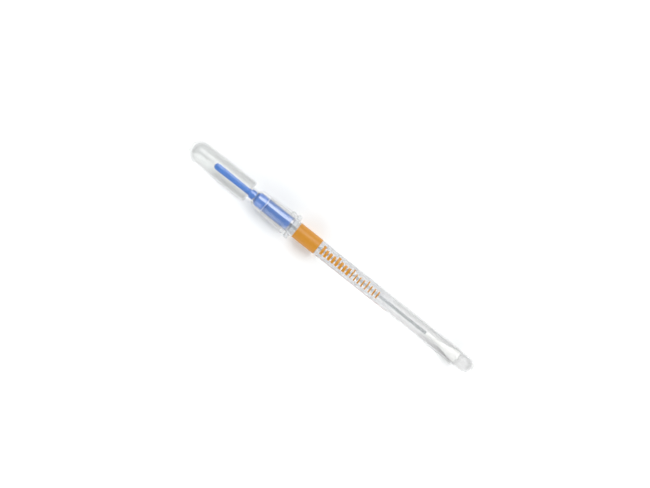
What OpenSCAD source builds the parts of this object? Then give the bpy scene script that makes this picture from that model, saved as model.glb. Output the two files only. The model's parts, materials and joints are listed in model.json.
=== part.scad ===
// Surface swab in its tube, with a liquid-filled bulb and a break-off valve, lying as it comes to rest.
// Every piece shares one axis. A place on it is a length s in mm, from the bulb's closed end to the tube's tip.

/* [Bulb] */
// Outside diameter of the bulb
bulb_d = 11.4; // [10.4:0.1:12]
// Length of the bulb, closed end to shoulder
bulb_l = 34.3; // [28:0.1:42]
// Wall of the bulb's side and shoulder
bulb_wall = 0.8; // [0.5:0.1:1.1]
// Wall of the closed end
bulb_end_wall = 1.3; // [0.8:0.1:2]
// Outside corner radius of the closed end
bulb_end_r = 5.1; // [3:0.1:5.1]
// Outside corner radius of the shoulder
bulb_shoulder_r = 1.2; // [1.2:0.1:2]

/* [Neck] */
// Outside diameter of the neck that the bulb is bent on
neck_d = 5.9; // [5.4:0.1:6.8]
// Length of the neck, shoulder to collar
neck_l = 3.1; // [3:0.1:4.5]
// Furthest bend of the bulb to either side, in degrees
bend_max = 35; // [20:1:36]

/* [Collar] */
// Wall over the tube's mouth, where the skirt begins
collar_top_wall = 0.42; // [0.35:0.01:0.8]
// Wall over the tube, where the skirt meets its flange
collar_wall = 1.6; // [1.3:0.05:1.8]
// Length of the sloping shoulder above the skirt
collar_shoulder_l = 1.4; // [1:0.1:2.5]
// Length of the skirt
collar_skirt_l = 16.6; // [14:0.1:20]
// Thickness of the collar's flange
collar_flange_t = 1.6; // [1:0.1:2.4]
// Overhang of the collar's flange past the skirt
collar_flange_over = 0.35; // [0.2:0.05:0.4]
// Length of the lip past the flange
collar_lip_l = 1.55; // [1:0.05:2.5]
// Wall of the lip at its end
collar_lip_wall = 1.05; // [0.7:0.05:1.2]
// Room between the tube and the lip's end
collar_lip_room = 0.55; // [0.3:0.05:0.6]
// Straight length inside the collar that grips the tube's mouth
collar_grip_l = 2; // [1:0.5:8]

/* [Tube] */
// Outside diameter of the tube
tube_d = 8; // [7.6:0.1:8.2]
// Wall of the tube round the bore that the valve plugs
tube_wall = 0.63; // [0.5:0.01:0.8]
// Narrowing of the bore's radius at the tip, by the mould's draft
tube_draft = 0.17; // [0.05:0.01:0.3]
// Length of the mouth that stands up inside the collar
tube_mouth_l = 15.3; // [12:0.1:16]
// Thickness of the tube's flange
tube_flange_t = 1.9; // [1:0.1:3]
// Length of the barrel, flange to end
barrel_l = 104.5; // [100:0.5:125]
// Swell of the round tip past the tube's side
tip_swell = 0.05; // [0:0.01:0.2]
// Wall at the bottom of the tip
tip_wall = 1.2; // [0.8:0.1:2]
// Overhang of the tube's flange past the collar's skirt
flange_over = 0.6; // [0.5:0.1:1.2]
// Edge radius of both flanges
flange_edge_r = 0.3; // [0.1:0.05:0.3]
// Depth of the shallow waist behind the tip
waist_depth = 0.2; // [0.1:0.05:0.3]
// Place of the waist, measured back from the tube's end
waist_back = 9; // [8:0.5:12]
// Radius of the waist's hollow, along the tube
waist_r = 12; // [8:1:20]
// Chamfer of the tube's rim
rim_chamfer = 0.25; // [0.1:0.05:0.3]

/* [Valve] */
// Diameter of the nib's round head
nib_head_d = 3.3; // [3:0.1:4]
// Diameter of the nib's stem in the neck
nib_stem_d = 2.8; // [2.2:0.1:3]
// Reach of the nib into the bulb, past the shoulder
nib_reach = 20.5; // [12:0.5:25]
// Depth of the score that the nib breaks at
score_depth = 0.25; // [0.1:0.05:0.4]
// Diameter of the valve body's dished top
valve_top_d = 4; // [3.6:0.1:4.4]
// Setback of the plug's end from the collar's end
valve_set = 1.05; // [0.5:0.05:4]
// Bore that lets the liquid down
passage_d = 1; // [0.6:0.1:1.4]
// Depth of the socket that holds the shaft
socket_l = 10; // [6:0.5:12]
// Depth of the pockets moulded up into the plug
pocket_l = 8; // [4:0.5:9]
// Wall round the pockets, and round the socket
plug_wall = 0.7; // [0.5:0.05:0.9]
// Ribs between the pockets
ribs = 4; // [3:1:6]
// Thickness of a rib
rib_t = 0.7; // [0.5:0.05:1]
// Sealing grooves round the plug
grooves = 3; // [1:1:4]
// Depth of a sealing groove
groove_depth = 0.12; // [0.05:0.01:0.2]
// Width of a sealing groove
groove_w = 0.5; // [0.3:0.1:0.8]
// Pitch of the sealing grooves
groove_pitch = 1.5; // [1.2:0.1:2]

/* [Swab] */
// Outside diameter of the hollow shaft
shaft_d = 1.7; // [1.4:0.1:2]
// Bore of the shaft
shaft_bore_d = 0.7; // [0.4:0.1:1]
// Length of the fibre bud
bud_l = 18.6; // [15:0.1:22]
// Length of the bud's slim part
bud_slim_l = 5.8; // [2:0.1:8]
// Thickness of the fibre wrapped on the slim part
bud_wrap = 0.13; // [0.1:0.01:0.4]
// Radial clearance of the bud in the tube's tip
bud_clear = 0.35; // [0.2:0.05:1]
// Edge radius of the bud's blunt end
bud_edge_r = 0.9; // [0.4:0.1:1.5]
// Room between the bud and the bottom of the tube's bore
bud_room = 7.5; // [5:0.5:12]
// Length of the bud that the shaft reaches into
bud_socket_l = 12.3; // [6:0.1:13]

/* [Label] */
// Length of the wrapped label
label_l = 55.7; // [30:0.1:80]
// Thickness of the film
film_t = 0.05; // [0.04:0.01:0.06]
// Bare tube between the flange and the label
label_gap = 1; // [0.5:0.1:5]
// Overlap of the film's two ends on the underside, in degrees
label_lap = 40; // [10:5:60]
// Bare margin at each end of the shallow panel that the label lies in
panel_margin = 0.4; // [0.2:0.1:0.5]
// How far the film's overlap lies below the barrel's side
panel_spare = 0.01; // [0.01:0.01:0.05]

/* [Liquid] */
// Drop of the liquid's level below the bulb's axis
level_drop = 2.2; // [1:0.1:3]

/* [Fits] */
// Radial clearance of the valve's plug in the tube's bore
plug_clear = 0.05; // [0.03:0.01:0.08]
// Radial clearance of the tube's mouth in the collar
mouth_clear = 0.05; // [0.03:0.01:0.08]
// Radial clearance of the valve body pressed into the collar
press_clear = 0.02; // [0.01:0.01:0.04]
// Radial clearance of the shaft in its two sockets
shaft_clear = 0.02; // [0.01:0.01:0.04]
// Radial clearance of the nib's stem in the neck
stem_clear = 0.1; // [0.06:0.01:0.2]
// Clearance between the two round faces that the bulb bends on
bend_clear = 0.05; // [0.03:0.01:0.08]
// Room left between the bent bulb and the collar
bend_room = 0.27; // [0.2:0.01:0.5]
// Gap between the tube's rim and the step inside the collar
rim_gap = 0.3; // [0.1:0.05:0.6]
// Gap between the collar's lip and the tube's flange
lip_gap = 0.05; // [0.02:0.01:0.1]
// Thickness of the label's adhesive
film_gap = 0.02; // [0.01:0.01:0.03]
// Gap between the liquid and what it wets
liquid_gap = 0.05; // [0.03:0.01:0.1]

/* [Hidden] */
$fn = 96;
small = 0.01;
steps = 16;
plug_set = 0.1;
bud_hem = 0.1;

// Diameters that follow from the tube's
tube_bore_d = tube_d - 2 * tube_wall;
tip_bore_d = tube_bore_d - 2 * tube_draft;
tip_d = tube_d + 2 * tip_swell;
collar_top_d = tube_d + 2 * (mouth_clear + collar_top_wall);
collar_mouth_d = tube_d + 2 * (mouth_clear + collar_wall);
collar_lip_d = tube_d + 2 * (collar_lip_room + collar_lip_wall);
flange_d = collar_mouth_d + 2 * flange_over;
collar_flange_d = collar_mouth_d + 2 * collar_flange_over;
panel_r = tube_d / 2 - film_gap - 2 * film_t - panel_spare;
end_r = min(bulb_end_r, bulb_d / 2 - small);

// Places along the axis
neck_end = bulb_l + neck_l;
skirt_s = neck_end + collar_shoulder_l;
collar_flange_s = skirt_s + collar_skirt_l;
lip_s = collar_flange_s + collar_flange_t;
collar_end = lip_s + collar_lip_l;
tube_flange_s = collar_end + lip_gap;
barrel_s = tube_flange_s + tube_flange_t;
rim_s = tube_flange_s - tube_mouth_l;
tube_end = barrel_s + barrel_l;
label_s = barrel_s + label_gap;
tip_s = tube_end - tip_d / 2;
tip_bore_s = tube_end - tip_wall - tip_bore_d / 2;

// The bulb bends on a ball-shaped face round bend_s, which no bend up to bend_max can jam
seat_over = 0.3;
seat_r = neck_d / 2 + seat_over;
ball_r = seat_r - bend_clear;
seat_rim = sqrt(pow(seat_r, 2) - pow(neck_d / 2, 2));
bend_s = bulb_l + neck_d / 2 * sin(bend_max) - seat_rim * cos(bend_max) + bend_room;

// Valve body and nib
valve_r = tube_bore_d / 2 - plug_clear;
dish_rim_s = bend_s + sqrt(pow(seat_r, 2) - pow(valve_top_d / 2, 2));
plug_s = skirt_s + plug_set;
valve_end = collar_end - valve_set;
shaft_s = valve_end - socket_l;
socket_r = shaft_d / 2 + shaft_clear;
nib_s = bulb_l - nib_reach;
score_s = neck_end;

// Swab
bud_end = tube_end - tip_wall - bud_room;
bud_s = bud_end - bud_l;
bud_neck_d = 2 * (socket_r + bud_wrap);
bud_d = tip_bore_d - 2 * bud_clear;
flare_s = bud_s + bud_slim_l;
flare_end = bud_end - bud_edge_r;
shaft_l = bud_s + bud_socket_l - shaft_s;

// How it rests: on the tube's flange and the tip, so the tip end lies lower
rest_l = tip_s - (barrel_s - flange_edge_r);
rest_d = flange_d / 2 - flange_edge_r;
rest_tilt = atan2(rest_d, rest_l)
    - asin((tip_d / 2 - flange_edge_r) / sqrt(pow(rest_l, 2) + pow(rest_d, 2)));
axis_z = flange_edge_r + rest_d * cos(rest_tilt) + (barrel_s - flange_edge_r) * sin(rest_tilt);
low_x = end_r * (cos(rest_tilt) - 1) - (bulb_d / 2 - end_r) * sin(rest_tilt);
high_x = tip_s * cos(rest_tilt) + tip_d / 2;

function axis_height(s) = axis_z - s * sin(rest_tilt);
function smooth(t) = t * t * (3 - 2 * t);
function flare_r(t) = (bud_neck_d + (bud_d - bud_neck_d) * smooth(t)) / 2;

// Puts a piece that was made round Z, with s as its height, where it lies
module at_rest()
    translate([-(low_x + high_x) / 2, 0, axis_z])
        rotate([0, 90 + rest_tilt, 0])
            children();

// Half section from s0 to s1 with rounded outer corners, e0 at s0 and e1 at s1
module strip(r, s0, s1, e0 = 0, e1 = 0)
    intersection() {
        union() {
            translate([0, s0 + e0]) square([r, s1 - s0 - e0 - e1]);
            translate([0, s0]) square([r - max(e0, e1), s1 - s0]);
            if (e0 > 0) translate([r - e0, s0 + e0]) circle(e0);
            if (e1 > 0) translate([r - e1, s1 - e1]) circle(e1);
            if (e0 > 0) translate([0, s0]) square([r - e0, e0 + small]);
            if (e1 > 0) translate([0, s1 - e1 - small]) square([r - e1, e1 + small]);
        }
        translate([0, s0]) square([r + 1, s1 - s0]);
    }

// Half disc round the point that the bulb bends about
module bend_disc(r)
    intersection() {
        translate([0, bend_s]) circle(r);
        translate([0, bend_s - r]) square([r, 2 * r]);
    }

// Half section of the room inside the bulb, shrunk by a gap all round
module bulb_room(gap = 0)
    strip(
        bulb_d / 2 - bulb_wall - gap,
        bulb_end_wall + gap,
        bulb_l - bulb_wall - gap,
        end_r - bulb_wall - gap,
        bulb_shoulder_r - bulb_wall - gap
    );

// Outline of the nib, grown by a gap all round
module nib_outline(gap = 0) {
    head_r = nib_head_d / 2;
    intersection() {
        translate([0, nib_s + head_r]) circle(head_r + gap);
        translate([0, nib_s - gap]) square([nib_head_d, nib_head_d]);
    }
    polygon([
        [0, nib_s + head_r],
        [head_r + gap, nib_s + head_r],
        [nib_stem_d / 2 + gap, bulb_l - bulb_wall],
        [nib_stem_d / 2 + gap, bend_s],
        [0, bend_s],
    ]);
}

module tube()
    color("aliceblue", 0.4) at_rest() rotate_extrude() difference() {
        union() {
            strip(tube_d / 2, rim_s + rim_chamfer, tip_s);
            polygon([
                [0, rim_s],
                [tube_d / 2 - rim_chamfer, rim_s],
                [tube_d / 2, rim_s + rim_chamfer],
                [0, rim_s + rim_chamfer],
            ]);
            strip(flange_d / 2, tube_flange_s, barrel_s, flange_edge_r, flange_edge_r);
            intersection() {
                translate([0, tip_s]) circle(tip_d / 2);
                translate([0, tip_s - tip_d / 2]) square([tip_d / 2, tip_d]);
            }
        }
        translate([tube_d / 2 - waist_depth + waist_r, tube_end - waist_back]) circle(waist_r);
        translate([panel_r, label_s - panel_margin]) square([1, label_l + 2 * panel_margin]);
        polygon([
            [0, rim_s - 1],
            [tube_bore_d / 2, rim_s - 1],
            [tube_bore_d / 2, barrel_s],
            [tip_bore_d / 2, tip_bore_s - tip_d / 2],
            [tip_bore_d / 2, tip_bore_s],
            [0, tip_bore_s],
        ]);
        intersection() {
            translate([0, tip_bore_s]) circle(tip_bore_d / 2);
            translate([0, tip_bore_s - small]) square([tip_bore_d, tip_bore_d]);
        }
    }

module label() {
    inner_r = panel_r + film_gap;
    film_r = inner_r + film_t;
    lap_w = film_r * tan(label_lap / 2);
    color("orange") at_rest() translate([0, 0, label_s]) linear_extrude(label_l) difference() {
        union() {
            circle(film_r);
            intersection() {
                circle(film_r + film_t);
                polygon([[0, 0], [2 * film_r, -2 * lap_w], [2 * film_r, 2 * lap_w]]);
            }
        }
        circle(inner_r);
    }
}

module collar() {
    step_s = rim_s - rim_gap;
    color("aliceblue", 0.5) at_rest() rotate_extrude() difference() {
        union() {
            polygon([
                [0, bend_s],
                [neck_d / 2, bend_s],
                [neck_d / 2, neck_end],
                [collar_top_d / 2, skirt_s],
                [collar_mouth_d / 2, collar_flange_s + small],
                [0, collar_flange_s + small],
            ]);
            strip(collar_flange_d / 2, collar_flange_s, lip_s, flange_edge_r, flange_edge_r);
            strip(collar_lip_d / 2, lip_s - small, collar_end, 0, flange_edge_r);
        }
        bend_disc(seat_r);
        polygon([
            [0, bend_s],
            [valve_top_d / 2 + press_clear, bend_s],
            [valve_top_d / 2 + press_clear, dish_rim_s],
            [valve_r + press_clear, plug_s],
            [valve_r + press_clear, step_s],
            [tube_d / 2 + mouth_clear, step_s],
            [tube_d / 2 + mouth_clear, rim_s + collar_grip_l],
            [collar_lip_d / 2 - collar_lip_wall, collar_end + small],
            [0, collar_end + small],
        ]);
    }
}

module bulb()
    color("aliceblue", 0.5) at_rest() rotate_extrude() difference() {
        union() {
            strip(bulb_d / 2, 0, bulb_l, end_r, bulb_shoulder_r);
            intersection() {
                bend_disc(ball_r);
                translate([0, bulb_l - bulb_wall]) square([neck_d / 2, 2 * ball_r]);
            }
        }
        bulb_room();
        translate([0, bulb_l - 2 * bulb_wall]) square([nib_stem_d / 2 + stem_clear, 3 * ball_r]);
    }

module reagent() {
    level = axis_height(bulb_l / 2) - level_drop;
    color("lightcyan", 0.6) difference() {
        at_rest() rotate_extrude() bulb_room(liquid_gap);
        at_rest() rotate_extrude() nib_outline(liquid_gap);
        translate([-tube_end, -bulb_d, level]) cube([2 * tube_end, 2 * bulb_d, bulb_d]);
    }
}

module nib()
    color("royalblue") at_rest() rotate_extrude() difference() {
        union() {
            nib_outline();
            intersection() {
                bend_disc(ball_r);
                translate([0, bend_s - small]) square([nib_stem_d / 2, 2 * ball_r]);
            }
        }
        polygon([
            [nib_stem_d / 2 + small, score_s - score_depth],
            [nib_stem_d / 2 - score_depth, score_s],
            [nib_stem_d / 2 + small, score_s + score_depth],
        ]);
    }

// Pockets moulded up into the plug round the shaft's socket, with ribs left between them
module plug_pockets()
    difference() {
        rotate_extrude()
            translate([socket_r + plug_wall, valve_end - pocket_l])
                square([valve_r - socket_r - 2 * plug_wall, pocket_l + 1]);
        for (i = [0:ribs - 1])
            rotate([0, 0, i * 360 / ribs])
                translate([0, -rib_t / 2, valve_end - pocket_l - 1])
                    cube([valve_r, rib_t, pocket_l + 3]);
    }

module valve_body()
    color("royalblue") at_rest() difference() {
        rotate_extrude() difference() {
            polygon([
                [0, bend_s],
                [valve_top_d / 2, bend_s],
                [valve_top_d / 2, dish_rim_s],
                [valve_r, plug_s],
                [valve_r, valve_end],
                [0, valve_end],
            ]);
            bend_disc(seat_r);
            translate([0, bend_s]) square([passage_d / 2, valve_end - bend_s]);
            translate([0, shaft_s]) square([socket_r, socket_l + 1]);
            for (i = [1:grooves])
                translate([valve_r - groove_depth, rim_s + i * groove_pitch])
                    square([2 * groove_depth, groove_w]);
        }
        plug_pockets();
    }

module shaft()
    color("whitesmoke") at_rest() rotate_extrude()
        translate([shaft_bore_d / 2, shaft_s]) square([(shaft_d - shaft_bore_d) / 2, shaft_l]);

module bud()
    color("white") at_rest() rotate_extrude() difference() {
        union() {
            strip(bud_neck_d / 2, bud_s, flare_s, bud_hem, 0);
            polygon([
                [0, flare_s - small],
                for (i = [0:steps])
                    [flare_r(i / steps), flare_s + (flare_end - flare_s) * i / steps],
                [0, flare_end],
            ]);
            strip(bud_d / 2, flare_end - small, bud_end, 0, bud_edge_r);
        }
        translate([0, bud_s - 1]) square([socket_r, bud_socket_l + 1]);
    }

tube();
label();
collar();
bulb();
reagent();
nib();
valve_body();
shaft();
bud();
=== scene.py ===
import json
import math

import bmesh
import bpy
import numpy as np
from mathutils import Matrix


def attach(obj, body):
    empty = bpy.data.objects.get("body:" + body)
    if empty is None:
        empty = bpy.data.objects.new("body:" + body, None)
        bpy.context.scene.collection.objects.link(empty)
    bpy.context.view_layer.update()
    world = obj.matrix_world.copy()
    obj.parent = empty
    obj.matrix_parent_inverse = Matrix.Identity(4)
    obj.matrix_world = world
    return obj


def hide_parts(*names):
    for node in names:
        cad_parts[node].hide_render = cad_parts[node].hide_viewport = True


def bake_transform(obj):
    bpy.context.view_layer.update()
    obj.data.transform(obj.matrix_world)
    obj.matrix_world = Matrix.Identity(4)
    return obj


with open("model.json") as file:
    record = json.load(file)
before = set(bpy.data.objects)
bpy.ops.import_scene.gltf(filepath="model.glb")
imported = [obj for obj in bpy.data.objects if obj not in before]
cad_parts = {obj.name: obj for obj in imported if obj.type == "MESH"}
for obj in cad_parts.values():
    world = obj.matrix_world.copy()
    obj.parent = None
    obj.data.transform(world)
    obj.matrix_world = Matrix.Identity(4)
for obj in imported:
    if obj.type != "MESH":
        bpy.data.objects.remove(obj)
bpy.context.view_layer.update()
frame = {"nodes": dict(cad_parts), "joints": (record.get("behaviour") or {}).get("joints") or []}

scene = bpy.context.scene
print("frame loaded:", len(frame["nodes"]), "nodes")

# The tube's own axis, from the joints: s is mm along it from the bulb's closed end
joints = {joint["name"]: joint for joint in frame["joints"]}
bendPlace = 35.1449  # s of the point that the bulb bends about
tipWay = -np.array(joints["swab_pull"]["axis"], float)
upWay = np.array(joints["bulb_bend"]["axis"], float)
sideWay = np.cross(upWay, tipWay)
axisStart = np.array(joints["bulb_bend"]["pos_m"], float) - tipWay * bendPlace / 1000
samePlace = 1e-9  # metres: points nearer than this are one


def toLinear(hexColour):
    # sRGB hex to linear: c / 12.92 below 0.04045, else ((c + 0.055) / 1.055) ^ 2.4
    c = np.array([int(hexColour[i:i + 2], 16) for i in (1, 3, 5)]) / 255
    linear = np.where(c <= 0.04045, c / 12.92, ((c + 0.055) / 1.055) ** 2.4)
    return (*map(float, linear), 1.0)


def addNode(tree, kind, settings=None, links=None):
    # a setting is an input's value where the node has an input of that name, else a property;
    # a link is an input's name with the node and the output that feed it
    node = tree.nodes.new(kind)
    for key, value in (settings or {}).items():
        if key in node.inputs:
            node.inputs[key].default_value = value
        else:
            setattr(node, key, value)
    for key, (source, socket) in (links or {}).items():
        tree.links.new(source.outputs[socket], node.inputs[key])
    return node


def newMaterial(name, settings, tint=None, relief=None):
    # one Principled shader with its settings on its own sockets; tint runs its colour between two
    # by noise, and relief is a bump by noise; cells is how many of the noise's waves fit in a metre
    # each way, and depth is in metres
    material = bpy.data.materials.new(name)
    material.use_nodes = True
    tree = material.node_tree
    tree.nodes.clear()
    shader = addNode(tree, "ShaderNodeBsdfPrincipled", settings)
    addNode(tree, "ShaderNodeOutputMaterial", links={"Surface": (shader, "BSDF")})
    place = addNode(tree, "ShaderNodeTexCoord")
    for pattern in filter(None, (tint, relief)):
        cells = {"Scale": pattern["cells"]}
        scaled = addNode(tree, "ShaderNodeMapping", cells, {"Vector": (place, "Object")})
        grain = {"Scale": 1.0, "Detail": pattern.get("detail", 0.0),
                 "Distortion": pattern.get("distortion", 0.0)}
        noise = addNode(tree, "ShaderNodeTexNoise", grain, {"Vector": (scaled, "Vector")})
        if pattern is tint:
            mix = addNode(tree, "ShaderNodeMix", {"data_type": "RGBA"}, {"Factor": (noise, "Fac")})
            for side, colour in zip("AB", tint["colours"]):
                mix.inputs[side].default_value = toLinear(colour)
            tree.links.new(mix.outputs["Result"], shader.inputs["Base Color"])
        else:
            height = {"Strength": relief["strength"], "Distance": relief["depth"]}
            bump = addNode(tree, "ShaderNodeBump", height, {"Height": (noise, "Fac")})
            tree.links.new(bump.outputs["Normal"], shader.inputs["Normal"])
    return material


def rounded(corners, arcSteps=8):
    # corners are (s, r, radius) in mm; each is swapped for an arc tangent to both of its sides, whose
    # points are centre + a radius turned evenly from the first tangent point to the last
    path = np.array([c[:2] for c in corners], float)
    pieces = [path[:1]]
    for before, corner, after, (_, _, radius) in zip(path, path[1:], path[2:], corners[1:-1]):
        if radius == 0:
            pieces.append(corner[None])
            continue
        a = (before - corner) / np.linalg.norm(before - corner)
        b = (after - corner) / np.linalg.norm(after - corner)
        half = math.acos(np.clip(a @ b, -1, 1)) / 2
        centre = corner + (a + b) / np.linalg.norm(a + b) * radius / math.sin(half)
        first = corner + a * radius / math.tan(half) - centre
        last = corner + b * radius / math.tan(half) - centre
        sweep = math.pi - 2 * half
        t = np.linspace(0, 1, max(3, round(arcSteps * sweep * radius ** 0.5) + 2))[:, None]
        turnedRadius = (np.sin((1 - t) * sweep) * first + np.sin(t * sweep) * last) / math.sin(sweep)
        pieces.append(centre + turnedRadius)
    return np.vstack([*pieces, path[-1:]])


def spaced(profile, step):
    # straight stretches longer than step are cut into equal parts
    pieces = [profile[:1]]
    for a, b in zip(profile, profile[1:]):
        n = max(1, math.ceil(np.linalg.norm(b - a) / step))
        pieces.append(a + (b - a) * np.arange(1, n + 1)[:, None] / n)
    return np.vstack(pieces)


def placed(s, side, up):
    # start of the axis + s along it + side and up across it, from mm to metres in the frame
    s, side, up = np.broadcast_arrays(s, side, up)
    return axisStart + (s[..., None] * tipWay + side[..., None] * sideWay + up[..., None] * upWay) / 1000


def turned(profile, turns):
    # surface of revolution: (s, r sin a, r cos a), with a from 0 to 2 pi and 0 on top
    s, r = profile.T
    a = np.arange(turns) * 2 * np.pi / turns
    return placed(s[:, None], r[:, None] * np.sin(a), r[:, None] * np.cos(a))


def gridFaces(grid):
    # quads between neighbouring rows and columns, the last column joined to the first; a row that
    # is one point becomes one vertex with a fan of triangles, and a last row that lies on the first
    # is joined to it; the faces are turned round if the volume inside comes out negative
    n, m = grid.shape[:2]
    index = np.arange(n * m).reshape(n, m)
    pole = np.ptp(grid, axis=1).max(axis=1) < samePlace
    index[pole] = index[pole, :1]
    if np.abs(grid[-1] - grid[0]).max() < samePlace:
        index[-1] = index[0]
    i = np.arange(n - 1)[:, None]
    j = np.arange(m)[None]
    a, b = index[i, j], index[i + 1, j]
    c, d = index[i + 1, (j + 1) % m], index[i, (j + 1) % m]
    quads = np.stack([a, b, c, d], -1).reshape(-1, 4)
    keep, packed = np.unique(quads, return_inverse=True)
    quads, points = packed.reshape(-1, 4), grid.reshape(-1, 3)[keep]
    p = points[quads]
    volume = np.einsum("ij,ij->i", p[:, 0], np.cross(p[:, 1], p[:, 2]) + np.cross(p[:, 2], p[:, 3])).sum()
    if volume < 0:
        quads = quads[:, ::-1]
    same = quads == np.roll(quads, -1, axis=1)
    flat = same.any(axis=1)
    corners = np.array([np.roll(q, -k)[1:] for q, k in zip(quads[flat], same[flat].argmax(axis=1))])
    return points, quads[~flat], corners.reshape(-1, 3).astype(int)


def makePiece(name, grids, material, smoothAngle=38):
    # one mesh from any number of grids
    points, faces, start = [], [], 0
    for grid in grids:
        p, quads, tris = gridFaces(grid)
        points.append(p)
        faces += (quads + start).tolist() + (tris + start).tolist()
        start += len(p)
    mesh = bpy.data.meshes.new(name)
    mesh.from_pydata(np.vstack(points).tolist(), [], faces)
    mesh.shade_smooth()
    mesh.set_sharp_from_angle(angle=math.radians(smoothAngle))
    piece = bpy.data.objects.new(name, mesh)
    scene.collection.objects.link(piece)
    mesh.materials.append(material)
    return piece


def eased(x, none, full):
    # 0 at none and 1 at full, and t * t * (3 - 2 * t) between them
    t = np.clip((x - none) / (full - none), 0, 1)
    return t * t * (3 - 2 * t)


def outward(grid, s):
    # unit vectors straight away from the tube's axis, and none for a point on it
    way = grid - placed(s, 0, 0)[:, None]
    length = np.linalg.norm(way, axis=2, keepdims=True)
    return np.where(length > samePlace, way / np.maximum(length, samePlace), 0)


def capped(grid):
    # the grid with a row at each end that is one point, the middle of the row beside it
    middles = grid[[0, -1]].mean(axis=1, keepdims=True).repeat(grid.shape[1], axis=1)
    return np.concatenate([middles[:1], grid, middles[1:]])


def repaint(piece, material, sFrom, sTo):
    # the faces whose middles lie from sFrom to sTo along the axis take another material
    mesh = piece.data
    mesh.materials.append(material)
    count = len(mesh.polygons)
    middle, index = np.empty(count * 3), np.empty(count, np.int32)
    mesh.polygons.foreach_get("center", middle)
    mesh.polygons.foreach_get("material_index", index)
    s = (middle.reshape(-1, 3) - axisStart) @ tipWay * 1000
    index[(s > sFrom) & (s < sTo)] = len(mesh.materials) - 1
    mesh.polygons.foreach_set("material_index", index)


# Clear polypropylene, injection-moulded, with faint flow lines 2.5 mm apart along the tube. Its IOR
# is 1.49, but a wall 0.6 mm thick hardly bends what is seen through it, so the IOR is brought down
# and the coat gives the gloss
clearPp = newMaterial(
    "clearMouldedPolypropylene",
    {"Base Color": toLinear("#E4E4E4"), "Transmission Weight": 0.99, "IOR": 1.1, "Roughness": 0.1,
     "Coat Weight": 0.5, "Coat Roughness": 0.22},
    relief={"cells": (60, 400, 400), "strength": 0.04, "depth": 0.0001})

# the same where the collar grips it: pressed together, the two faces hardly reflect
grippedPp = newMaterial(
    "grippedClearPolypropylene",
    {"Base Color": toLinear("#F0F0F0"), "Transmission Weight": 1.0, "IOR": 1.05, "Roughness": 0.05},
    relief={"cells": (60, 400, 400), "strength": 0.04, "depth": 0.0001})

# the same in the flange, which is solid: thicker, so its IOR is nearer the real one
flangePp = newMaterial(
    "solidClearPolypropylene",
    {"Base Color": toLinear("#E0E2E4"), "Transmission Weight": 0.96, "IOR": 1.25, "Roughness": 0.12,
     "Coat Weight": 0.5, "Coat Roughness": 0.2},
    relief={"cells": (60, 400, 400), "strength": 0.04, "depth": 0.0001})

# the same at the rim, matt, with a painted highlight: a pale ring for the light its edge catches; its grain
# drawn 1 mm wide to show
rimHighlightPp = newMaterial(
    "rimPaintedHighlightPolypropylene",
    {"Base Color": toLinear("#F4F6FA"), "Transmission Weight": 0.8, "IOR": 1.3, "Roughness": 0.35,
     "Coat Weight": 0.4, "Coat Roughness": 0.2},
    relief={"cells": (1000, 1000, 1000), "strength": 0.2, "depth": 0.00005})

# Natural low-density polyethylene, blow-moulded: waxy and slightly milky, its thin wall uneven in
# soft waves 4 to 8 mm across. Its IOR is 1.51, brought down as for the tube
naturalPe = newMaterial(
    "blownNaturalPolyethylene",
    {"Base Color": toLinear("#E8E8E8"), "Transmission Weight": 0.99, "IOR": 1.06, "Roughness": 0.15,
     "Coat Weight": 0.8, "Coat Roughness": 0.2},
    relief={"cells": (120, 250, 250), "strength": 0.1, "depth": 0.0002})

# the same, solid round the stem at the neck: thick enough to magnify it
solidPe = newMaterial(
    "solidNaturalPolyethylene",
    {"Base Color": toLinear("#F4F4F4"), "Transmission Weight": 0.99, "IOR": 1.58, "Roughness": 0.12,
     "Coat Weight": 0.6, "Coat Roughness": 0.15, "Coat IOR": 1.8},
    relief={"cells": (120, 250, 250), "strength": 0.05, "depth": 0.0002})

# the same on the collar, formed tight against a polished core: smoother, with a strong gloss
glossyPe = newMaterial(
    "glossyNaturalPolyethylene",
    {"Base Color": toLinear("#EEEEEE"), "Transmission Weight": 0.99, "IOR": 1.07, "Roughness": 0.1,
     "Coat Weight": 1.0, "Coat Roughness": 0.15, "Coat IOR": 1.8},
    relief={"cells": (120, 250, 250), "strength": 0.05, "depth": 0.0002})

# the same in the collar's flange and lip, which are thick as the neck is
flangePe = newMaterial(
    "flangeNaturalPolyethylene",
    {"Base Color": toLinear("#F0F0F0"), "Transmission Weight": 0.99, "IOR": 1.5, "Roughness": 0.12,
     "Coat Weight": 0.6, "Coat Roughness": 0.15, "Coat IOR": 1.8},
    relief={"cells": (120, 250, 250), "strength": 0.05, "depth": 0.0002})

# Water-based reagent, clear with faint clouds 5 mm across. Water's IOR is 1.33, brought down like
# the wall's
reagent = newMaterial(
    "waterReagent",
    {"Transmission Weight": 1.0, "IOR": 1.12, "Roughness": 0.03},
    tint={"cells": (200, 200, 200), "detail": 2.0, "colours": ("#F2F5F4", "#F6F7F6")},
    relief={"cells": (100, 100, 100), "strength": 0.03, "depth": 0.0001})

# Blue polypropylene, injection-moulded: a satin grain 0.25 mm wide, and slight swirls in the colour
# 2 to 4 mm long
bluePp = newMaterial(
    "blueMouldedPolypropylene",
    {"Roughness": 0.27, "IOR": 1.49, "Subsurface Weight": 0.15, "Subsurface Scale": 0.001,
     "Subsurface Radius": (0.4, 0.6, 1.0)},
    tint={"cells": (250, 500, 500), "detail": 3.0, "colours": ("#2461AE", "#2F6EBD")},
    relief={"cells": (4000, 4000, 4000), "detail": 2.0, "strength": 0.15, "depth": 0.00003})

# Natural polypropylene, extruded as a fine tube: draw lines 0.3 mm apart run along it
shaftPp = newMaterial(
    "extrudedNaturalPolypropylene",
    {"Base Color": toLinear("#DDE0E1"), "Transmission Weight": 1.0, "IOR": 1.45, "Roughness": 0.14},
    relief={"cells": (100, 3000, 3000), "detail": 2.0, "strength": 0.2, "depth": 0.00003})

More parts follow.
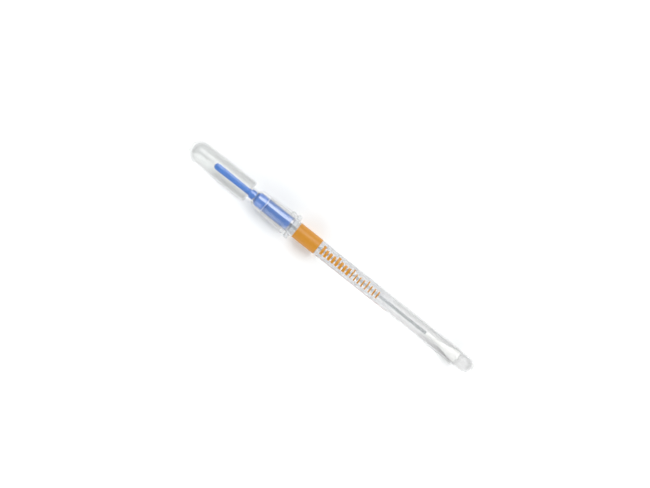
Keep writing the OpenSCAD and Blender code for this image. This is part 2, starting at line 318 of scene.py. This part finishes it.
# Polyester fibre, wound: matt and bright white, with strands 0.2 mm thick
fibre = newMaterial(
    "woundPolyesterFibre",
    {"Roughness": 0.9, "Sheen Weight": 0.5, "Sheen Roughness": 0.5},
    tint={"cells": (1500, 5000, 5000), "detail": 4.0, "distortion": 0.6,
          "colours": ("#DCDCD9", "#EDEDEA")},
    relief={"cells": (1500, 5000, 5000), "detail": 4.0, "distortion": 0.6,
            "strength": 0.5, "depth": 0.00006})

# Polypropylene label film, cast: almost clear, with a faint milky mottle 3 mm across and slight waves
film = newMaterial(
    "milkyLabelFilm",
    {"Roughness": 0.3, "Alpha": 0.05},
    tint={"cells": (300, 300, 300), "detail": 2.0, "colours": ("#F2F4F8", "#FAFAFC")},
    relief={"cells": (150, 150, 150), "strength": 0.1, "depth": 0.00003})

# Orange ink, screen-printed under a gloss laminate, uneven in specks 1 mm across
orangeInk = newMaterial(
    "orangeScreenInk",
    {"Roughness": 0.45, "Coat Weight": 0.12, "Coat Roughness": 0.1},
    tint={"cells": (900, 900, 900), "detail": 3.0, "colours": ("#BC7A10", "#C8881C")})

# Brown ink, screen-printed in fine lines
brownInk = newMaterial(
    "brownScreenInk",
    {"Roughness": 0.4},
    tint={"cells": (900, 900, 900), "detail": 3.0, "colours": ("#A07163", "#B08171")})
print("materials made")


tubeSize = {
    "rim": 43.3, "rimChamfer": 0.25, "rimEdge": 0.1, "side": 4.0, "bore": 3.37, "boreEdge": 0.12,
    "flangeFrom": 58.6, "flangeTo": 60.5, "flangeRadius": 6.25, "flangeEdge": 0.3, "root": 0.2,
    "panelFrom": 61.1, "panelTo": 117.6, "panelRadius": 3.87, "panelSlope": 0.13, "panelEdge": 0.1,
    "waistAt": 156.0, "waistDepth": 0.2, "waistRadius": 12.0, "waistRunOut": 1.0,
    "tipCentre": 160.95, "tipRadius": 4.05, "tipBack": 0.63,  # its ball starts that far before its centre
    # the gate's dimple and the stub in it, drawn with closer points as far as gateTurn, in radians
    "gateDepth": 0.12, "gateFlat": 0.33, "gateEdge": 1.43, "gateTurn": 0.3,
    "stubHeight": 0.08, "stubFlat": 0.2, "stubEdge": 0.6,
    "tipBore": 3.2, "boreEndCentre": 160.6, "boreTaperEnd": 156.6, "boreStraightEnd": 160.4,
    "gatePoints": 12, "tipPoints": 24, "waistPoints": 15, "borePoints": 22,
    "spacing": 2.0, "aroundCount": 160,
    # stretches along s that take another material
    "rimZone": (43.0, 43.6), "gripZone": (43.6, 57.0), "flangeZone": (58.45, 60.65),
}


def tubeProfile(t):
    # tip: (centre + R cos a, R sin a), less the gate's dimple and stub, each eased off from its flat
    # to its edge
    back = math.acos(-t["tipBack"] / t["tipRadius"])
    a = np.concatenate([np.linspace(0, t["gateTurn"], t["gatePoints"])[:-1],
                        np.linspace(t["gateTurn"], back, t["tipPoints"])])
    tip = np.stack([t["tipCentre"] + t["tipRadius"] * np.cos(a), t["tipRadius"] * np.sin(a)], -1)
    dimple = t["gateDepth"] * eased(tip[:, 1], t["gateEdge"], t["gateFlat"])
    tip[:, 0] -= dimple - t["stubHeight"] * eased(tip[:, 1], t["stubEdge"], t["stubFlat"])
    # waist: side - depth + R - sqrt(R^2 - x^2), x from its middle
    half = math.sqrt(t["waistRadius"] ** 2 - (t["waistRadius"] - t["waistDepth"]) ** 2)
    x = np.linspace(half, -half, t["waistPoints"])
    hollow = t["waistRadius"] - np.sqrt(t["waistRadius"] ** 2 - x ** 2)
    waist = np.stack([t["waistAt"] + x, t["side"] - t["waistDepth"] + hollow], -1)
    wall = rounded([
        (t["waistAt"] - half - t["waistRunOut"], t["side"], 0),
        (t["panelTo"], t["side"], t["panelEdge"]),
        (t["panelTo"] - t["panelSlope"], t["panelRadius"], t["panelEdge"]),
        (t["panelFrom"] + t["panelSlope"], t["panelRadius"], t["panelEdge"]),
        (t["panelFrom"], t["side"], t["panelEdge"]),
        (t["flangeTo"], t["side"], t["root"]),
        (t["flangeTo"], t["flangeRadius"], t["flangeEdge"]),
        (t["flangeFrom"], t["flangeRadius"], t["flangeEdge"]),
        (t["flangeFrom"], t["side"], t["root"]),
        (t["rim"] + t["rimChamfer"], t["side"], t["rimEdge"]),
        (t["rim"], t["side"] - t["rimChamfer"], t["rimEdge"]),
        (t["rim"], t["bore"], t["boreEdge"]),
        (t["flangeTo"], t["bore"], 0),
        (t["boreTaperEnd"], t["tipBore"], 0),
        (t["boreStraightEnd"], t["tipBore"], 0),
    ])
    # bottom of the bore: a quarter circle down to the axis
    b = np.linspace(np.pi / 2, 0, t["borePoints"])
    bottom = np.stack([t["boreEndCentre"] + t["tipBore"] * np.cos(b), t["tipBore"] * np.sin(b)], -1)
    bottom[-1, 1] = tip[0, 1] = 0
    return spaced(np.vstack([tip, waist, wall, bottom]), t["spacing"])


tubeGrid = turned(tubeProfile(tubeSize), tubeSize["aroundCount"])
tubeShell = makePiece("tubeShell", [tubeGrid], clearPp)
repaint(tubeShell, grippedPp, *tubeSize["gripZone"])
repaint(tubeShell, rimHighlightPp, *tubeSize["rimZone"])
repaint(tubeShell, flangePp, *tubeSize["flangeZone"])
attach(tubeShell, "tube")
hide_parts("tube")
tubeShell.visible_shadow = False  # thin clear walls darken the floor far less than a ray tracer's glass


# bulb, neck and collar are one blown piece
bulbSize = {
    "side": 5.7, "wall": 0.8, "endWall": 1.3, "endRound": 5.1, "shoulder": 34.3, "shoulderRound": 1.2,
    "neck": 2.95, "neckRoot": 0.35, "neckEnd": 37.4, "neckBore": 1.38, "neckBoreEdge": 0.3, "innerRound": 0.4,
    "skirtFrom": 38.8, "skirtTop": 4.47, "skirtMouth": 5.65, "skirtRound": 0.5,
    "flangeFrom": 55.4, "flangeTo": 57.0, "flangeRadius": 6.0, "edge": 0.2, "crease": 0.12,
    "lipEnd": 58.55, "lipRadius": 5.6, "lipEdge": 0.3, "lipBore": 4.55,
    "gripEnd": 45.3, "grip": 4.05, "gripRound": 1.0, "step": 43.0,
    "seat": 3.34, "seatFrom": 38.9, "seatEdge": 0.15,
    "throat": 2.02, "throatAt": 37.72, "throatStep": 0.4, "throatEdge": 0.1,
    # parting line, in the mould's plane: fades in from the radius seamNone to seamFull
    "seamHeight": 0.045, "seamWidth": 0.16, "seamTurn": 90, "seamNone": 1.0, "seamFull": 4.0, "seamEnd": 55.1,
    # ridge where the closed end was pinched off
    "pinchHeight": 0.16, "pinchWidth": 0.22, "pinchReach": 3.4, "pinchFull": 2.2, "pinchEnd": 3.0,
    "spacing": 0.6, "aroundCount": 180,
    # stretches along s that take another material
    "neckZone": (34.9, 37.7), "collarZone": (38.4, 55.3), "flangeZone": (55.3, 60.0),
}


def bulbProfile(b):
    # the outside from the closed end to the mouth, then back along the bore
    inner = b["side"] - b["wall"]
    shoulderInside = b["shoulder"] - b["wall"]
    return spaced(rounded([
        (0, 0, 0),
        (0, b["side"], b["endRound"]),
        (b["shoulder"], b["side"], b["shoulderRound"]),
        (b["shoulder"], b["neck"], b["neckRoot"]),
        (b["neckEnd"], b["neck"], b["skirtRound"]),
        (b["skirtFrom"], b["skirtTop"], b["skirtRound"]),
        (b["flangeFrom"], b["skirtMouth"], b["crease"]),
        (b["flangeFrom"], b["flangeRadius"], b["edge"]),
        (b["flangeTo"], b["flangeRadius"], b["edge"]),
        (b["flangeTo"], b["lipRadius"], b["crease"]),
        (b["lipEnd"], b["lipRadius"], b["lipEdge"]),
        (b["lipEnd"], b["lipBore"], b["edge"]),
        (b["gripEnd"], b["grip"], b["gripRound"]),
        (b["step"], b["grip"], b["crease"]),
        (b["step"], b["seat"], b["crease"]),
        (b["seatFrom"], b["seat"], b["seatEdge"]),
        (b["throatAt"], b["throat"], b["throatEdge"]),
        (b["throatAt"] - b["throatStep"], b["neckBore"], b["edge"]),
        (shoulderInside, b["neckBore"], b["neckBoreEdge"]),
        (shoulderInside, inner, b["innerRound"]),
        (b["endWall"], inner, b["endRound"] - b["wall"]),
        (b["endWall"], 0, 0),
    ]), b["spacing"])


def bulbGrid(b):
    # the turned profile, its outside lifted by seamHeight * exp(-(distance from the mould's parting
    # plane / seamWidth) ^ 2), and its closed end pushed out by the pinch in the same way
    profile = bulbProfile(b)
    grid = turned(profile, b["aroundCount"])
    s, r = profile[:, :1], profile[:, 1:]
    outside = np.arange(len(profile))[:, None] <= profile[:, 0].argmax()
    a = np.arange(b["aroundCount"]) * 2 * np.pi / b["aroundCount"] - math.radians(b["seamTurn"])
    apart = r * np.sin(a)
    seam = b["seamHeight"] * np.exp(-(apart / b["seamWidth"]) ** 2)
    seam = seam * eased(r, b["seamNone"], b["seamFull"]) * outside * (s < b["seamEnd"])
    pinch = b["pinchHeight"] * np.exp(-(apart / b["pinchWidth"]) ** 2)
    pinch = pinch * eased(r, b["pinchReach"], b["pinchFull"]) * outside * (s < b["pinchEnd"])
    return grid + (outward(grid, profile[:, 0]) * seam[..., None] - tipWay * pinch[..., None]) / 1000


bulbShell = makePiece("blownBulb", [bulbGrid(bulbSize)], naturalPe)
repaint(bulbShell, solidPe, *bulbSize["neckZone"])
repaint(bulbShell, glossyPe, *bulbSize["collarZone"])
repaint(bulbShell, flangePe, *bulbSize["flangeZone"])
# the ends of the 2 mm round the point that the bulb bends about, where the neck flexes, are worked out here;
# nothing uses them
placed(np.array(36.4), 0, 0)
placed(np.array(34.4), 0, 0)
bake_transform(bulbShell)
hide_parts("bulb", "collar")
bulbShell.visible_shadow = False


poolSize = {
    "level": 2.2, "levelAt": 17.15, "room": 4.85, "roomFrom": 1.35, "roomTo": 33.45, "endRound": 4.25,
    "meniscus": 0.22, "meniscusReach": 0.45, "hair": 0.0005,  # rows shallower than a hair are left out
    "rows": 60, "arcPoints": 40, "topPoints": 40,
}


def poolGrid(p):
    # cross-section at s: the room's circle of radius R(s) below the level h(s), closed by the level,
    # which climbs the wall by meniscus * exp(-distance / reach)
    t = np.linspace(0, 1, p["rows"])
    s = p["roomFrom"] + (p["roomTo"] - p["roomFrom"]) * (1 - np.cos(t * np.pi)) / 2
    past = np.clip(p["roomFrom"] + p["endRound"] - s, 0, p["endRound"])
    room = p["room"] - p["endRound"] + np.sqrt(p["endRound"] ** 2 - past ** 2)
    tilt = math.asin(-tipWay[2])
    h = -p["level"] + (s - p["levelAt"]) * math.tan(tilt)
    edge = h + p["meniscus"]
    wet = room > -edge * (1 + p["hair"])
    s, room, h, edge = s[wet], room[wet], h[wet], edge[wet]
    reach = np.arccos(np.clip(-edge / room, -1, 1))
    a = reach[:, None] * np.linspace(-1, 1, p["arcPoints"])
    arcY, arcH = room[:, None] * np.sin(a), -room[:, None] * np.cos(a)
    y = arcY[:, -1:] * np.linspace(1, -1, p["topPoints"] + 2)[1:-1]
    topH = h[:, None] + p["meniscus"] * np.exp(-(arcY[:, -1:] - np.abs(y)) / p["meniscusReach"])
    return capped(placed(s[:, None], np.hstack([arcY, y]), np.hstack([arcH, topH])))


pool = makePiece("reagentPool", [poolGrid(poolSize)], reagent)
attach(pool, "bulb")
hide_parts("reagent")
pool.visible_shadow = False


nibSize = {
    "end": 13.8, "head": 1.65, "stem": 1.4, "stemFrom": 33.5, "stemBlend": 2.0,
    "score": 37.4, "scoreDepth": 0.25, "scoreEdge": 0.05,
    "ball": 3.2, "ballDepth": 0.4, "ballPoints": 10, "headPoints": 16, "spacing": 1.0, "aroundCount": 72,
}


def nibProfile(n):
    # ball end about the bend point, narrowing to the stem, scored, and a tapered rod with a round head
    a = np.linspace(0, math.asin(n["stem"] / n["ball"]), n["ballPoints"])
    ball = np.stack([bendPlace + n["ball"] * np.cos(a), n["ball"] * np.sin(a)], -1)
    rod = rounded([
        (bendPlace + n["ball"] - n["ballDepth"], n["stem"], 0),
        (n["score"] + n["scoreDepth"], n["stem"], n["scoreEdge"]),
        (n["score"], n["stem"] - n["scoreDepth"], n["scoreEdge"]),
        (n["score"] - n["scoreDepth"], n["stem"], n["scoreEdge"]),
        (n["stemFrom"], n["stem"], n["stemBlend"]),
        (n["end"] + n["head"], n["head"], 0),
    ])
    b = np.linspace(np.pi / 2, 0, n["headPoints"])
    head = np.stack([n["end"] + n["head"] * (1 - np.cos(b)), n["head"] * np.sin(b)], -1)
    head[-1, 1] = 0
    return spaced(np.vstack([ball, rod, head[1:]]), n["spacing"])


nib = makePiece("breakNib", [turned(nibProfile(nibSize), nibSize["aroundCount"])], bluePp)
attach(nib, "bulb")
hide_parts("nib")

# the valve's plug keeps the CAD shape: a copy, merged, so that it shades smooth
valveMesh = {"mergeWithin": 1e-6, "smoothAngle": 25}
valve = bpy.data.objects.new("valvePlug", frame["nodes"]["valve_body"].data.copy())
scene.collection.objects.link(valve)
work = bmesh.new()
work.from_mesh(valve.data)
bmesh.ops.remove_doubles(work, verts=work.verts, dist=valveMesh["mergeWithin"])
work.to_mesh(valve.data)
work.free()
valve.data.materials.clear()
valve.data.materials.append(bluePp)
valve.data.shade_smooth()
valve.data.set_sharp_from_angle(angle=math.radians(valveMesh["smoothAngle"]))
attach(valve, "swab")
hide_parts("valve_body")


shaftSize = {"from": 47.5, "to": 150.0, "side": 0.85, "bore": 0.35, "edge": 0.06,
             "spacing": 4.0, "aroundCount": 48}


def shaftProfile(p):
    # the wall as a closed loop from the middle of its first end, its edges rounded
    middle = (p["side"] + p["bore"]) / 2
    return spaced(rounded([
        (p["from"], middle, 0),
        (p["from"], p["side"], p["edge"]),
        (p["to"], p["side"], p["edge"]),
        (p["to"], p["bore"], p["edge"]),
        (p["from"], p["bore"], p["edge"]),
        (p["from"], middle, 0),
    ]), p["spacing"])


shaft = makePiece("swabShaft", [turned(shaftProfile(shaftSize), shaftSize["aroundCount"])], shaftPp)
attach(shaft, "swab")
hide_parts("shaft")
shaft.visible_shadow = False


budSize = {
    "from": 137.7, "to": 156.3, "neck": 1.0, "wide": 2.85, "slim": 5.8, "endRound": 0.9, "endEdge": 0.98,
    "socket": 0.87, "socketTo": 150.0, "rows": 200, "endSpacing": 0.25, "endSteps": 12, "aroundCount": 128,
    "smoothAngle": 60,
    "strandPitch": 0.8, "strandTurns": 3, "strandDepth": 0.045, "strandFull": 1.2,
    "strandBends": ((1.3, 2, 0.7), (0.8, 5, -1.1)),  # slower waves: how strong, turns, radians per mm
}


def budGrid(b):
    # radius: slim, then a smooth flare, then a rounded blunt end; wound strands stand on it as
    # depth * a wave of s / pitch + turns * angle, bent by slower waves, less the depth
    flareEnd = b["to"] - b["endRound"]
    end = rounded([(flareEnd, b["wide"], 0),
                   (b["to"], b["wide"], b["endRound"] * b["endEdge"]),
                   (b["to"], 0, 0)], b["endSteps"])
    s = np.linspace(b["from"], flareEnd, b["rows"])
    r = b["neck"] + (b["wide"] - b["neck"]) * eased(s, b["from"] + b["slim"], flareEnd)
    outer = np.vstack([np.stack([s, r], -1), spaced(end[1:], b["endSpacing"])])
    inner = np.array([[b["socketTo"], 0], [b["socketTo"], b["socket"]], [b["from"], b["socket"]]])
    profile = np.vstack([inner, outer])
    grid = turned(profile, b["aroundCount"])
    s, r = profile.T
    a = np.arange(b["aroundCount"]) * 2 * np.pi / b["aroundCount"]
    phase = 2 * np.pi * s[:, None] / b["strandPitch"] + b["strandTurns"] * a
    for strength, turns, run in b["strandBends"]:
        phase = phase + strength * np.sin(turns * a + s[:, None] * run)
    lift = b["strandDepth"] * np.sin(phase) * eased(r, 0, b["strandFull"])[:, None] - b["strandDepth"]
    lift[:len(inner)] = 0  # none in the socket
    return grid + outward(grid, s) * lift[..., None] / 1000


bud = makePiece("fibreBud", [budGrid(budSize)], fibre, budSize["smoothAngle"])
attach(bud, "swab")
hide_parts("bud")


labelSize = {
    "from": 61.5, "to": 117.2, "inner": 3.89, "film": 0.045, "layer": 0.058, "lap": 40, "ramp": 10,
    "bandFrom": 61.7, "bandTo": 74.3, "ink": 0.008, "inkGap": 0.001, "arcStep": 3, "smoothAngle": 30,
}


def wrapped(sFrom, sTo, turnFrom, turnTo, inner, thickness, rows=2):
    # a strip wound on the tube from turnFrom to turnTo, in degrees from the film's first end, which
    # lies lap / 2 before the underside; its radius rises by one layer where it passes over that end
    turnCount = max(4, round(abs(turnTo - turnFrom) / labelSize["arcStep"]) + 2)
    turn = np.linspace(turnFrom, turnTo, turnCount)
    radius = inner + labelSize["layer"] * eased(turn, 360 - labelSize["ramp"], 360)
    a = np.radians(turn + 180 - labelSize["lap"] / 2)
    s = np.linspace(sFrom, sTo, rows)
    loopS = np.concatenate([s, s[::-1]])
    loopR = np.concatenate([np.full(rows, thickness), np.zeros(rows)])
    r = radius[:, None] + loopR
    return capped(placed(loopS[None], r * np.sin(a)[:, None], r * np.cos(a)[:, None]))


fullTurn = 360 + labelSize["lap"]
filmStrip = wrapped(labelSize["from"], labelSize["to"], 0, fullTurn, labelSize["inner"], labelSize["film"])
labelFilm = makePiece("labelFilm", [filmStrip], film, labelSize["smoothAngle"])
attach(labelFilm, "tube")
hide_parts("label")
labelFilm.visible_shadow = False

# the ink lies on the film's outside
inkAt = labelSize["inner"] + labelSize["film"] + labelSize["inkGap"]
bandStrip = wrapped(labelSize["bandFrom"], labelSize["bandTo"], 0, fullTurn, inkAt, labelSize["ink"])
band = makePiece("orangeBand", [bandStrip], orangeInk, labelSize["smoothAngle"])
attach(band, "tube")

# plain graduations, bold over the first half and fine over the second
tickSize = {"from": 77.0, "pitch": 2.15, "bold": 8, "fine": 8, "boldWidth": 1.35, "fineWidth": 0.65,
            "turnFrom": 169, "shortTurn": 54, "longTurn": 70, "longEvery": 4}
ticks = []
for k in range(tickSize["bold"] + tickSize["fine"]):
    halfWidth = (tickSize["boldWidth"] if k < tickSize["bold"] else tickSize["fineWidth"]) / 2
    reach = tickSize["shortTurn"] if k % tickSize["longEvery"] else tickSize["longTurn"]
    at = tickSize["from"] + k * tickSize["pitch"]
    ticks.append(wrapped(at - halfWidth, at + halfWidth, tickSize["turnFrom"], tickSize["turnFrom"] + reach,
                         inkAt, labelSize["ink"]))
scale = makePiece("graduations", ticks, orangeInk, labelSize["smoothAngle"])
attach(scale, "tube")

# two thin rules along the film, their places and width in degrees
ruleSize = {"from": 75.2, "to": 116.8, "places": (130, 136), "width": 2.4, "rows": 8}
rules = [wrapped(ruleSize["from"], ruleSize["to"], at - ruleSize["width"] / 2, at + ruleSize["width"] / 2,
                 inkAt, labelSize["ink"], ruleSize["rows"]) for at in ruleSize["places"]]
ruling = makePiece("ruledLines", rules, brownInk, labelSize["smoothAngle"])
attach(ruling, "tube")
print("pieces made")


stage = {
    "floor": "#F7F7F6", "floorSize": 8.0,
    "sky": "#A4A8AC", "skyFrom": 0.7, "horizon": "#FFFFFF", "skyStrength": 1.12,
    "keyPower": 7.8, "keySize": (1.2, 0.66), "keyLean": 34.0,
    "fillPower": 4.8, "fillSize": (1.2, 0.8), "fillLean": -58.0, "lightDistance": 1.0,
    "turn": 38.66, "lens": 144.0, "sensor": 36, "height": 1.2, "offset": (-0.00323, 0.00646),
}

floorMat = newMaterial("paleFloor", {"Base Color": toLinear(stage["floor"]), "Roughness": 0.9,
                                     "Specular IOR Level": 0.0})
floorMesh = bpy.data.meshes.new("floor")
e = stage["floorSize"] / 2
floorMesh.from_pydata([(-e, -e, 0), (e, -e, 0), (e, e, 0), (-e, e, 0)], [], [(0, 1, 2, 3)])
floor = bpy.data.objects.new("floor", floorMesh)
scene.collection.objects.link(floor)
floorMesh.materials.append(floorMat)

# a sky that is white low down and greyer high up
world = bpy.data.worlds.new("softSky")
scene.world = world
world.use_nodes = True
tree = world.node_tree
tree.nodes.clear()
direction = addNode(tree, "ShaderNodeTexCoord")
split = addNode(tree, "ShaderNodeSeparateXYZ", links={"Vector": (direction, "Generated")})
ramp = addNode(tree, "ShaderNodeValToRGB", links={"Fac": (split, "Z")})
horizon, overhead = ramp.color_ramp.elements
horizon.color = toLinear(stage["horizon"])
overhead.color = toLinear(stage["sky"])
overhead.position = stage["skyFrom"]
back = addNode(tree, "ShaderNodeBackground", {"Strength": stage["skyStrength"]}, {"Color": (ramp, "Color")})
addNode(tree, "ShaderNodeOutputWorld", links={"Surface": (back, "Background")})


def areaLight(name, power, size, lean):
    # a soft box over the axis, leaning to +Y by lean degrees and facing the middle of the swab
    lamp = bpy.data.lights.new(name, "AREA")
    lamp.shape = "RECTANGLE"
    lamp.size, lamp.size_y = size
    lamp.energy = power
    box = bpy.data.objects.new(name, lamp)
    lean = math.radians(lean)
    box.location = np.array([0, math.sin(lean), math.cos(lean)]) * stage["lightDistance"]
    box.rotation_euler = (-lean, 0, 0)
    scene.collection.objects.link(box)
    return box


areaLight("softbox", stage["keyPower"], stage["keySize"], stage["keyLean"])
fillPanel = areaLight("fillPanel", stage["fillPower"], stage["fillSize"], stage["fillLean"])
fillPanel.visible_glossy = False  # it fills the shadows and shows in no gloss

lens = bpy.data.cameras.new("camera")
lens.lens = stage["lens"]
lens.sensor_width = stage["sensor"]
camera = bpy.data.objects.new("camera", lens)
turn = math.radians(stage["turn"])
right, top = stage["offset"]
across = right * math.cos(turn) - top * math.sin(turn)
along = right * math.sin(turn) + top * math.cos(turn)
camera.location = (across, along, stage["height"])
camera.rotation_euler = (0, 0, turn)
scene.collection.objects.link(camera)
scene.camera = camera
scene.view_settings.view_transform = "Standard"
print("stage set")
